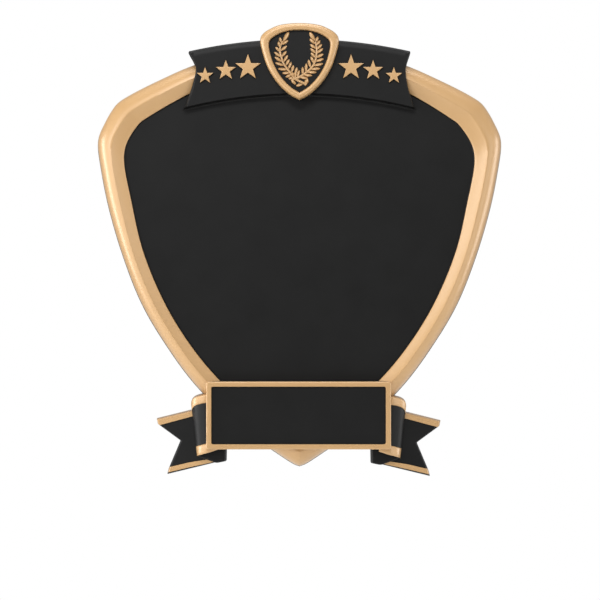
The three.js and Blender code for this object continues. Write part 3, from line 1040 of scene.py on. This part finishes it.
@dataclass
class Wreath:
    """Laurel wreath on the crest: two branches whose feet cross."""

    v: float = 101.1
    left: Branch = Branch(
        stem=(
            (3.1, -27.7), (1.6, -26.8), (-0.2, -26.0), (-1.6, -25.1), (-2.8, -24.0),
            (-3.9, -22.5), (-5.5, -20.5), (-7.2, -18.0), (-8.0, -15.7), (-8.6, -13.6),
            (-8.7, -11.6), (-8.3, -9.6), (-7.2, -7.9),
        ),
        leaves=(
            (-2.9, -24.1, -4.9, -25.2), (-3.5, -23.1, -6.3, -24.3), (-4.0, -22.3, -7.8, -22.5),
            (-5.0, -21.0, -9.7, -20.5), (-6.9, -19.1, -11.0, -17.8), (-7.8, -17.4, -11.2, -15.2),
            (-8.3, -15.3, -11.4, -13.0), (-8.6, -13.0, -10.8, -10.7), (-8.6, -11.0, -9.6, -8.3),
            (-8.2, -8.9, -8.85, -6.4), (-1.1, -24.6, -0.1, -21.1), (-1.8, -24.7, -1.9, -21.6),
            (-2.0, -23.0, -1.05, -19.9), (-2.9, -24.6, -3.1, -22.0), (-3.6, -22.3, -2.65, -18.9),
            (-5.0, -20.7, -3.6, -17.5), (-6.1, -19.1, -4.6, -16.3), (-7.2, -17.6, -5.2, -14.4),
            (-8.0, -15.2, -5.8, -12.6), (-8.3, -12.5, -5.6, -10.2), (-7.9, -9.7, -5.0, -7.8),
            (-7.3, -8.3, -4.7, -4.0),
        ),
    )
    right: Branch = Branch(
        stem=(
            (-3.6, -25.5), (-1.9, -24.9), (0.0, -24.2), (1.7, -23.1), (3.6, -21.7), (5.2, -20.2),
            (6.5, -18.3), (7.3, -16.0), (7.6, -14.0), (7.7, -12.0), (7.5, -10.0), (7.1, -8.2),
        ),
        leaves=(
            (-0.2, -24.1, 3.9, -24.9), (1.6, -23.2, 5.8, -23.6), (3.1, -22.0, 7.7, -22.1),
            (4.8, -20.7, 9.4, -20.4), (6.1, -19.2, 10.7, -18.2), (7.1, -17.3, 10.9, -16.0),
            (7.5, -15.5, 10.8, -13.9), (7.6, -13.7, 10.6, -11.4), (7.6, -12.0, 10.1, -9.5),
            (7.6, -10.0, 9.3, -7.8), (7.3, -8.5, 8.3, -6.1), (1.5, -23.3, 1.4, -19.7),
            (2.9, -22.2, 3.1, -18.0), (5.0, -20.2, 4.0, -16.4), (6.6, -18.3, 5.1, -15.0),
            (7.3, -15.7, 5.1, -13.3), (7.5, -13.7, 4.9, -11.4), (7.5, -11.6, 4.7, -9.5),
            (7.2, -9.5, 4.5, -7.1), (7.0, -8.1, 4.5, -4.1),
        ),
    )
    # Leaves lying about the crossed stems.
    foot: Branch = Branch(
        stem=((-1.7, -25.2), (-0.1, -26.1), (1.6, -26.9)),
        leaves=((-3.9, -25.4, -1.6, -27.5), (1.5, -27.4, -1.6, -28.2), (2.7, -27.7, 3.6, -24.9)),
        leaf_width=1.5,
    )

    def build(self) -> bpy.types.Object:
        """Builds both branches and the leaves about their feet.

        Returns:
            The wreath, as one piece.
        """
        relief = Relief()
        for branch in (self.left, self.right, self.foot):
            branch.grow(relief.bm)
        return relief.shift(0, self.v).place("laurel_wreath")


@dataclass(frozen=True)
class NamePanel:
    """Gold-rimmed panel that takes the engraved plate, a little left of the middle."""

    width: float = 82.8
    height: float = 30.4
    u: float = -0.4
    v: float = -74.7
    corner: float = 0.9
    rim: float = 2.3
    bevel: float = 0.55

    def ring(self, distance: float, height: float) -> list[Vector]:
        """Ring round the panel.

        Args:
            distance: How far in from its edge, or out if negative.
            height: The ring's height off the wall.

        Returns:
            The ring's points.
        """
        u, v = self.width / 2, self.height / 2
        corners = ((-u, -v), (u, -v), (u, v), (-u, v))
        return level(rounded_polygon(corners, distance, self.corner), height)

    def seat(self) -> bpy.types.Object:
        """Builds the black block whose top is the sunk seat.

        Returns:
            The block, from the wall up.
        """
        rings = [
            self.ring(-H.draft, 0),
            self.ring(-0.08, H.panel_rim - 4.2),
            self.ring(self.rim * 0.3, H.panel_rim - 4),
            self.ring(self.rim * 0.8, H.panel_seat - 0.2),
            self.ring(self.rim * 0.9, H.panel_seat),
        ]
        return Relief().loft(rings).shift(self.u, self.v).place("panel_seat")

    def rim_frame(self) -> bpy.types.Object:
        """Builds the gold rim round the seat.

        Returns:
            The rim, a closed ring with bevelled edges.
        """
        top = H.panel_rim
        rings = [
            self.ring(self.rim * 0.4, top - 4.3),
            self.ring(0, top - 4.1),
            self.ring(0, top - self.bevel),
            self.ring(self.bevel * 0.1, top - self.bevel * 0.6),
            self.ring(self.bevel * 0.35, top - self.bevel * 0.25),
            self.ring(self.bevel, top),
            self.ring(self.rim - self.bevel * 0.6, top),
            self.ring(self.rim - self.bevel * 0.2, top - self.bevel * 0.12),
            self.ring(self.rim, top - self.bevel * 0.5),
            self.ring(self.rim + 0.05, H.panel_seat - 0.3),
            self.ring(self.rim * 0.7, H.panel_seat - 0.6),
        ]
        return Relief().loft(rings, closed=True).shift(self.u, self.v).place("panel_rim")


@dataclass
class Ribbon:
    """Ribbon on one side of the panel: fold, loop behind it and swallow tail.

    Its plans are for the viewer's left, as distance out from the panel's side
    edge and height above the panel's middle.
    """

    side: Side
    panel: NamePanel
    right_drop: float = 0.9
    fold_top: HalfOutline = (
        (-5.35, 9.6), (0.45, 9.2), (2.65, 8.8), (4.65, 8.2), (6, 7.4), (6.85, 6.3), (7.1, 4.9),
    )
    fold_bottom: HalfOutline = (
        (-5.35, -15.4), (-0.55, -17), (1.35, -17.5), (2.85, -18), (3.75, -18.3), (4.25, -18.5), (4.4, -18.7),
    )
    fold_rise: tuple[float, ...] = (1, 0.93, 0.8, 0.62, 0.42, 0.2, 0)
    fold_per_span: int = 5
    upper_border: float = 3.7
    lower_border: float = 4.4
    loop_plan: HalfOutline = (
        (-8.5, -11.3), (4.25, -11.3), (3.85, -18.9), (0.65, -19.9), (-4.35, -21.7), (-8.3, -20.9),
    )
    loop_corner: float = 0.8
    loop_round: float = 0.7
    tail_plan: HalfOutline = (
        (-5.8, 4.8), (22.4, -2.2), (22.0, -4.2), (11.6, -11.8), (17.0, -24.6), (17.5, -26.55),
        (-5.8, -20.9),
    )
    tail_corner: float = 0.42
    # Plans that the tail's gold bands are cut to. They reach past its edges.
    upper_band: HalfOutline = ((-5.7, 9), (26, 3), (26, -6), (-5.7, 2.45))
    lower_band: HalfOutline = (
        (-4.6, -19.5), (0.75, -20.2), (8.2, -21.5), (16.7, -23.6), (26, -26), (18.6, -26.35), (8.2, -23.85),
        (-1.8, -21.65), (-4.6, -20.95),
    )
    # How far the gold stands out from the black below it, and where it starts off the wall.
    band_skin: float = 0.04
    border_foot: float = 0.3
    band_chamfer: float = 0.3

    def across(self, point: tuple[float, float]) -> Vector:
        """Place on the face of a point of the left ribbon, about the panel's middle."""
        return Vector((-(self.panel.width / 2 + point[0]), point[1]))

    def plan(self, points: HalfOutline) -> HalfOutline:
        """Places a whole plan of the left ribbon, about the panel's middle."""
        return tuple(tuple(self.across(point)) for point in points)

    def settle(self, relief: Relief, name: str) -> bpy.types.Object:
        """Moves a mesh beside the panel on its side and places it.

        Args:
            relief: The mesh, as on the viewer's left.
            name: The object's name without its side.

        Returns:
            The new object.
        """
        drop = 0.0
        if self.side is Side.RIGHT:
            relief.mirror()
            drop = self.right_drop
        return relief.shift(self.panel.u, self.panel.v - drop).place(f"{name}_{self.side.value}")

    def tail_height(self, place: Vector) -> float:
        """Height of the tail, which leans back to the wall towards its ends.

        Args:
            place: A point about the panel's middle, on the viewer's left.

        Returns:
            The height off the wall.
        """
        end = max(out for out, _ in self.tail_plan)
        out = -place.x - self.panel.width / 2
        return H.tail_root + (H.tail_end - H.tail_root) * out / end

    def stations(self) -> list[tuple[Vector, Vector]]:
        """Works out the fold's two long edges.

        Returns:
            Upper and lower points, from the panel to the curled edge.
        """
        heights = [H.fold_edge + (H.fold - H.fold_edge) * rise for rise in self.fold_rise]
        upper = [Vector((*self.across(point), w)) for point, w in zip(self.fold_top, heights)]
        lower = [Vector((*self.across(point), w)) for point, w in zip(self.fold_bottom, heights)]
        return list(zip(*(smooth_through(edge, self.fold_per_span) for edge in (upper, lower))))

    def fold(self) -> bpy.types.Object:
        """Builds the fold's black body down to the wall.

        Returns:
            The fold.
        """
        rings = []
        for upper, lower in self.stations():
            along = (lower - upper).normalized() * H.draft
            foot_upper, foot_lower = upper - along, lower + along
            rings.append([Vector((*foot_upper.xy, 0)), upper, lower, Vector((*foot_lower.xy, 0))])
        return self.settle(Relief().loft(rings), "ribbon_fold")

    def upper_fold_border(self) -> bpy.types.Object:
        """Builds the fold's upper border, which wraps over its edge to the wall.

        Returns:
            The border.
        """
        rise, foot = H.border_rise, self.border_foot
        rings = []
        for upper, lower in self.stations():
            way = (lower - upper).normalized()
            top = upper.z
            profile = (
                (0.5, foot), (-H.draft * (1 - foot / top) - self.band_skin, foot),
                (-self.band_skin, top - 0.1),
                (0.02, top + 0.45 * rise), (0.12, top + 0.75 * rise), (0.35, top + rise),
                (self.upper_border * 0.5, top + 1.1 * rise), (self.upper_border * 0.86, top + 0.9 * rise),
                (self.upper_border * 0.96, top + 0.5 * rise), (self.upper_border, top),
                (self.upper_border, top - H.sunk),
            )
            rings.append([Vector((*(upper + way * away).xy, w)) for away, w in profile])
        return self.settle(Relief().loft(rings), "fold_upper_border")

    def lower_fold_border(self) -> bpy.types.Object:
        """Builds the fold's lower border, a rounded band that follows its curl.

        Returns:
            The border.
        """
        rise = H.border_rise
        profile = (
            (0.0, -H.sunk), (0.0, 0.0), (0.04, 0.5 * rise), (0.14, 0.9 * rise), (0.35, 1.1 * rise),
            (0.65, 1.1 * rise), (0.9, 0.9 * rise), (0.97, 0.45 * rise), (0.99, 0.0), (0.99, -H.sunk),
        )
        rings = []
        for upper, lower in self.stations():
            way = (lower - upper).normalized()
            rings.append([
                lower - way * self.lower_border * (1 - share) + Vector((0, 0, lift))
                for share, lift in profile
            ])
        return self.settle(Relief().loft(rings), "fold_lower_border")

    def tail_border(self, name: str, band: HalfOutline) -> bpy.types.Object:
        """Builds a raised gold band of the tail, cut from the tail's own form.

        Args:
            name: The band's name.
            band: Plan that the band is cut to.

        Returns:
            The band.
        """
        skin = block(
            self.plan(self.tail_plan), self.tail_corner,
            lambda p: self.tail_height(p) + H.border_rise, grow=self.band_skin,
        )
        corners = [Vector(p) for p in self.plan(band)]
        cutter = Relief().loft([
            level(corners, self.border_foot),
            level(corners, H.tail_end + H.border_rise * 0.4),
            level(inset(corners, self.band_chamfer), H.ground + 3),
        ])
        whole = self.settle(skin, "band_skin")
        steps = [("INTERSECT", self.settle(cutter, "band_cutter"))]
        return combine(f"{name}_{self.side.value}", whole, steps)

    def blocks(self) -> list[bpy.types.Object]:
        """Builds the black parts.

        Returns:
            The tail, the loop and the fold.
        """
        tail = block(self.plan(self.tail_plan), self.tail_corner, self.tail_height)
        loop = block(self.plan(self.loop_plan), self.loop_corner, lambda _: H.loop, self.loop_round)
        return [self.settle(tail, "ribbon_tail"), self.settle(loop, "ribbon_loop"), self.fold()]

    def borders(self) -> list[bpy.types.Object]:
        """Builds the gold borders.

        Returns:
            The upper and lower borders of the fold, then those of the tail.
        """
        return [
            self.upper_fold_border(),
            self.lower_fold_border(),
            self.tail_border("tail_upper_border", self.upper_band),
            self.tail_border("tail_lower_border", self.lower_band),
        ]


# Studio


@dataclass(frozen=True)
class SoftBox:
    """One rectangular studio light aimed at the shield."""

    name: str
    place: tuple[float, float, float]
    size: tuple[float, float]
    watts: float
    aim: tuple[float, float, float] = (0.0, 0.0, -0.02)

    def set_up(self) -> None:
        """Adds the light."""
        light = bpy.data.lights.new(self.name, "AREA")
        light.shape = "RECTANGLE"
        light.size, light.size_y = self.size
        light.energy = self.watts
        lamp = bpy.data.objects.new(self.name, light)
        lamp.location = self.place
        way = Vector(self.aim) - Vector(self.place)
        lamp.rotation_euler = way.to_track_quat("-Z", "Y").to_euler()
        bpy.context.scene.collection.objects.link(lamp)


@dataclass
class Studio:
    """White sweep, soft lights and the photograph's straight-on camera."""

    distance: float = 1.21
    lens: float = 160.0
    sensor_width: float = 36.0
    clip: tuple[float, float] = (0.05, 50.0)
    aim_u: float = 0.225
    aim_v: float = -22.95
    room: float = 0.37
    floor_drop: float = 0.32
    floor_radius: float = 0.8
    paper: str = "#F2F2F0"
    paper_roughness: float = 0.9
    boxes: tuple[SoftBox, ...] = (
        SoftBox("key_left", (-1.28, -0.16, 0.0), (0.5, 0.9), 11.4),
        SoftBox("front_left", (-0.9, -0.8, 0.0), (0.5, 0.9), 3.0),
        SoftBox("near_left", (-0.45, -0.6, 0.15), (0.2, 0.25), 0.95),
        SoftBox("near_top", (-0.05, -0.5, 0.38), (0.3, 0.12), 1.5),
        SoftBox("fill_right", (1.29, 0.05, 0.0), (0.6, 0.9), 6.9),
        SoftBox("front_right", (0.9, -0.8, 0.0), (0.5, 0.9), 2.6),
        SoftBox("top", (0.0, -0.05, 1.3), (1.0, 0.7), 12.0),
    )

    def camera(self) -> None:
        """Sets the camera square to the face, as in the photograph."""
        data = bpy.data.cameras.new("photo_camera")
        data.lens = self.lens
        data.sensor_width = self.sensor_width
        data.clip_start, data.clip_end = self.clip
        camera = bpy.data.objects.new("photo_camera", data)
        camera.location = (self.aim_u * MM, -self.distance, self.aim_v * MM)
        camera.rotation_euler = (math.pi / 2, 0, 0)
        bpy.context.scene.collection.objects.link(camera)
        bpy.context.scene.camera = camera

    def floor(self) -> None:
        """Lays a pale round floor below the shield."""
        bm = bmesh.new()
        bmesh.ops.create_circle(bm, cap_ends=True, segments=96, radius=self.floor_radius)
        bmesh.ops.translate(bm, vec=(0, 0, -self.floor_drop), verts=bm.verts)
        mesh = bpy.data.meshes.new("floor")
        bm.to_mesh(mesh)
        bm.free()
        floor = bpy.data.objects.new("floor", mesh)
        bpy.context.scene.collection.objects.link(floor)
        paper = bpy.data.materials.new("white_paper")
        paper.use_nodes = True
        shader = paper.node_tree.nodes["Principled BSDF"]
        shader.inputs["Base Color"].default_value = linear(self.paper)
        shader.inputs["Roughness"].default_value = self.paper_roughness
        mesh.materials.append(paper)

    def world(self) -> None:
        """Makes a white surround that is dimmer for light than for the eye."""
        world = bpy.data.worlds.new("white_sweep")
        world.use_nodes = True
        tree = world.node_tree
        tree.nodes.clear()
        path = add_node(tree, "ShaderNodeLightPath")
        strength = add_node(
            tree, "ShaderNodeMapRange",
            {"Value": path.outputs["Is Camera Ray"], "To Min": self.room, "To Max": 1.0},
        )
        glow = add_node(
            tree, "ShaderNodeBackground",
            {"Color": (1, 1, 1, 1), "Strength": strength.outputs["Result"]},
        )
        add_node(tree, "ShaderNodeOutputWorld", {"Surface": glow.outputs["Background"]})
        bpy.context.scene.world = world

    def set_up(self) -> None:
        """Builds the whole studio."""
        self.world()
        self.floor()
        for box in self.boxes:
            box.set_up()
        self.camera()
        bpy.context.scene.view_settings.view_transform = "Standard"
        bpy.context.scene.view_settings.look = "None"


def main() -> None:
    """Builds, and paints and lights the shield."""
    logging.basicConfig(level=logging.INFO, format="%(name)s %(message)s")
    paints = Paints()
    shield, banner, crest, panel = ShieldFrame(), Banner(), Crest(), NamePanel()
    ribbons = [Ribbon(side, panel) for side in Side]
    joined = [banner.band(), crest.seat(), panel.seat()]
    for ribbon in ribbons:
        joined += ribbon.blocks()
    steps = [("UNION", solid) for solid in joined]
    steps += [("DIFFERENCE", cutter) for cutter in Keyhole().cutters()]
    paints.dress(combine("casting", shield.ground(), steps), Slot.BLACK)
    gilded = [shield.moulding(), *banner.all_stars(), crest.rim(), Wreath().build(), panel.rim_frame()]
    for ribbon in ribbons:
        gilded += ribbon.borders()
    for piece in gilded:
        paints.dress(piece, Slot.GOLD)
    Studio().set_up()


if __name__ == "__main__":
    main()
